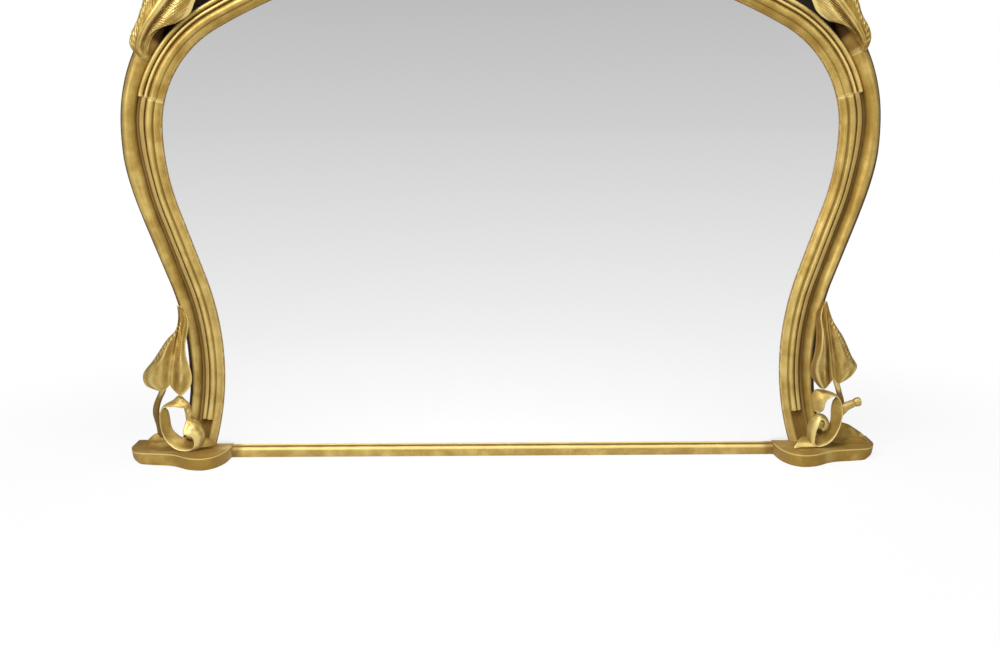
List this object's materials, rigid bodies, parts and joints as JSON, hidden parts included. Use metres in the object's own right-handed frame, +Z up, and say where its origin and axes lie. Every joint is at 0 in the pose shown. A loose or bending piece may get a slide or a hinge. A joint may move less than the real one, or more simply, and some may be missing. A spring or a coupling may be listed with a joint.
{
  "type": "overmantel mirror",
  "caption": "Giltwood overmantel mirror: a sinuous moulded frame with leaves and curling tendrils on two shaped plinths, holding a shaped mirror plate.",
  "frame": {"origin": "on the shelf plane, under the middle of the part's bounding box", "axes": "+X to the viewer's right, +Y towards the wall, +Z up; the mirror faces -Y"},
  "size_m": [1.514, 0.158, 1.2362],
  "materials": {
    "aged_gilding": "carved wood with aged water gilding, worn to the bole on the high edges and dark in the hollows",
    "recess_black": "stained nearly black, matt",
    "pine": "bare aged softwood",
    "mirror_glass": "silvered plate glass",
    "steel": "dull steel fixings",
    "felt": "felt pads"
  },
  "bodies": {
    "frame": {"left_stile": "aged_gilding", "right_stile": "aged_gilding", "left_arch": "aged_gilding", "right_arch": "aged_gilding", "left_side_stem": "aged_gilding", "right_side_stem": "aged_gilding", "left_crest_stem": "aged_gilding", "right_crest_stem": "aged_gilding", "left_crest_panel": "recess_black", "right_crest_panel": "recess_black", "bottom_rail": "aged_gilding", "left_plinth": "aged_gilding", "right_plinth": "aged_gilding", "left_shoulder_leaf": "aged_gilding", "right_shoulder_leaf": "aged_gilding", "left_foot_leaf": "aged_gilding", "right_foot_leaf": "aged_gilding", "left_tendril": "aged_gilding", "right_tendril": "aged_gilding", "left_root_mound": "aged_gilding", "right_root_mound": "aged_gilding", "crown_bud": "aged_gilding", "left_crown_leaf": "aged_gilding", "right_crown_leaf": "aged_gilding", "mirror_plate": "mirror_glass", "glazing_blocks": "pine", "setting_blocks": "pine", "back_board_1": "pine", "back_board_2": "pine", "back_board_3": "pine", "back_board_4": "pine", "back_board_5": "pine", "board_nails": "steel", "rail_dowels": "pine", "arch_dowels": "pine", "plinth_screws": "steel", "mending_plates": "steel", "mending_screws": "steel", "left_strap_hanger": "steel", "right_strap_hanger": "steel", "strap_screws": "steel", "wall_bumpers": "felt"},
    "left_ring": {"left_hanging_ring": "steel"},
    "right_ring": {"right_hanging_ring": "steel"}
  },
  "joints": [
    {"name": "left_ring_swing", "type": "hinge", "parent": "frame", "child": "left_ring", "pos_m": [-0.70779, 0.07178, 0.63001], "axis": [1, 0, 0], "range_deg": [0, 165]},
    {"name": "right_ring_swing", "type": "hinge", "parent": "frame", "child": "right_ring", "pos_m": [0.70779, 0.07178, 0.63001], "axis": [1, 0, 0], "range_deg": [0, 165]}
  ]
}
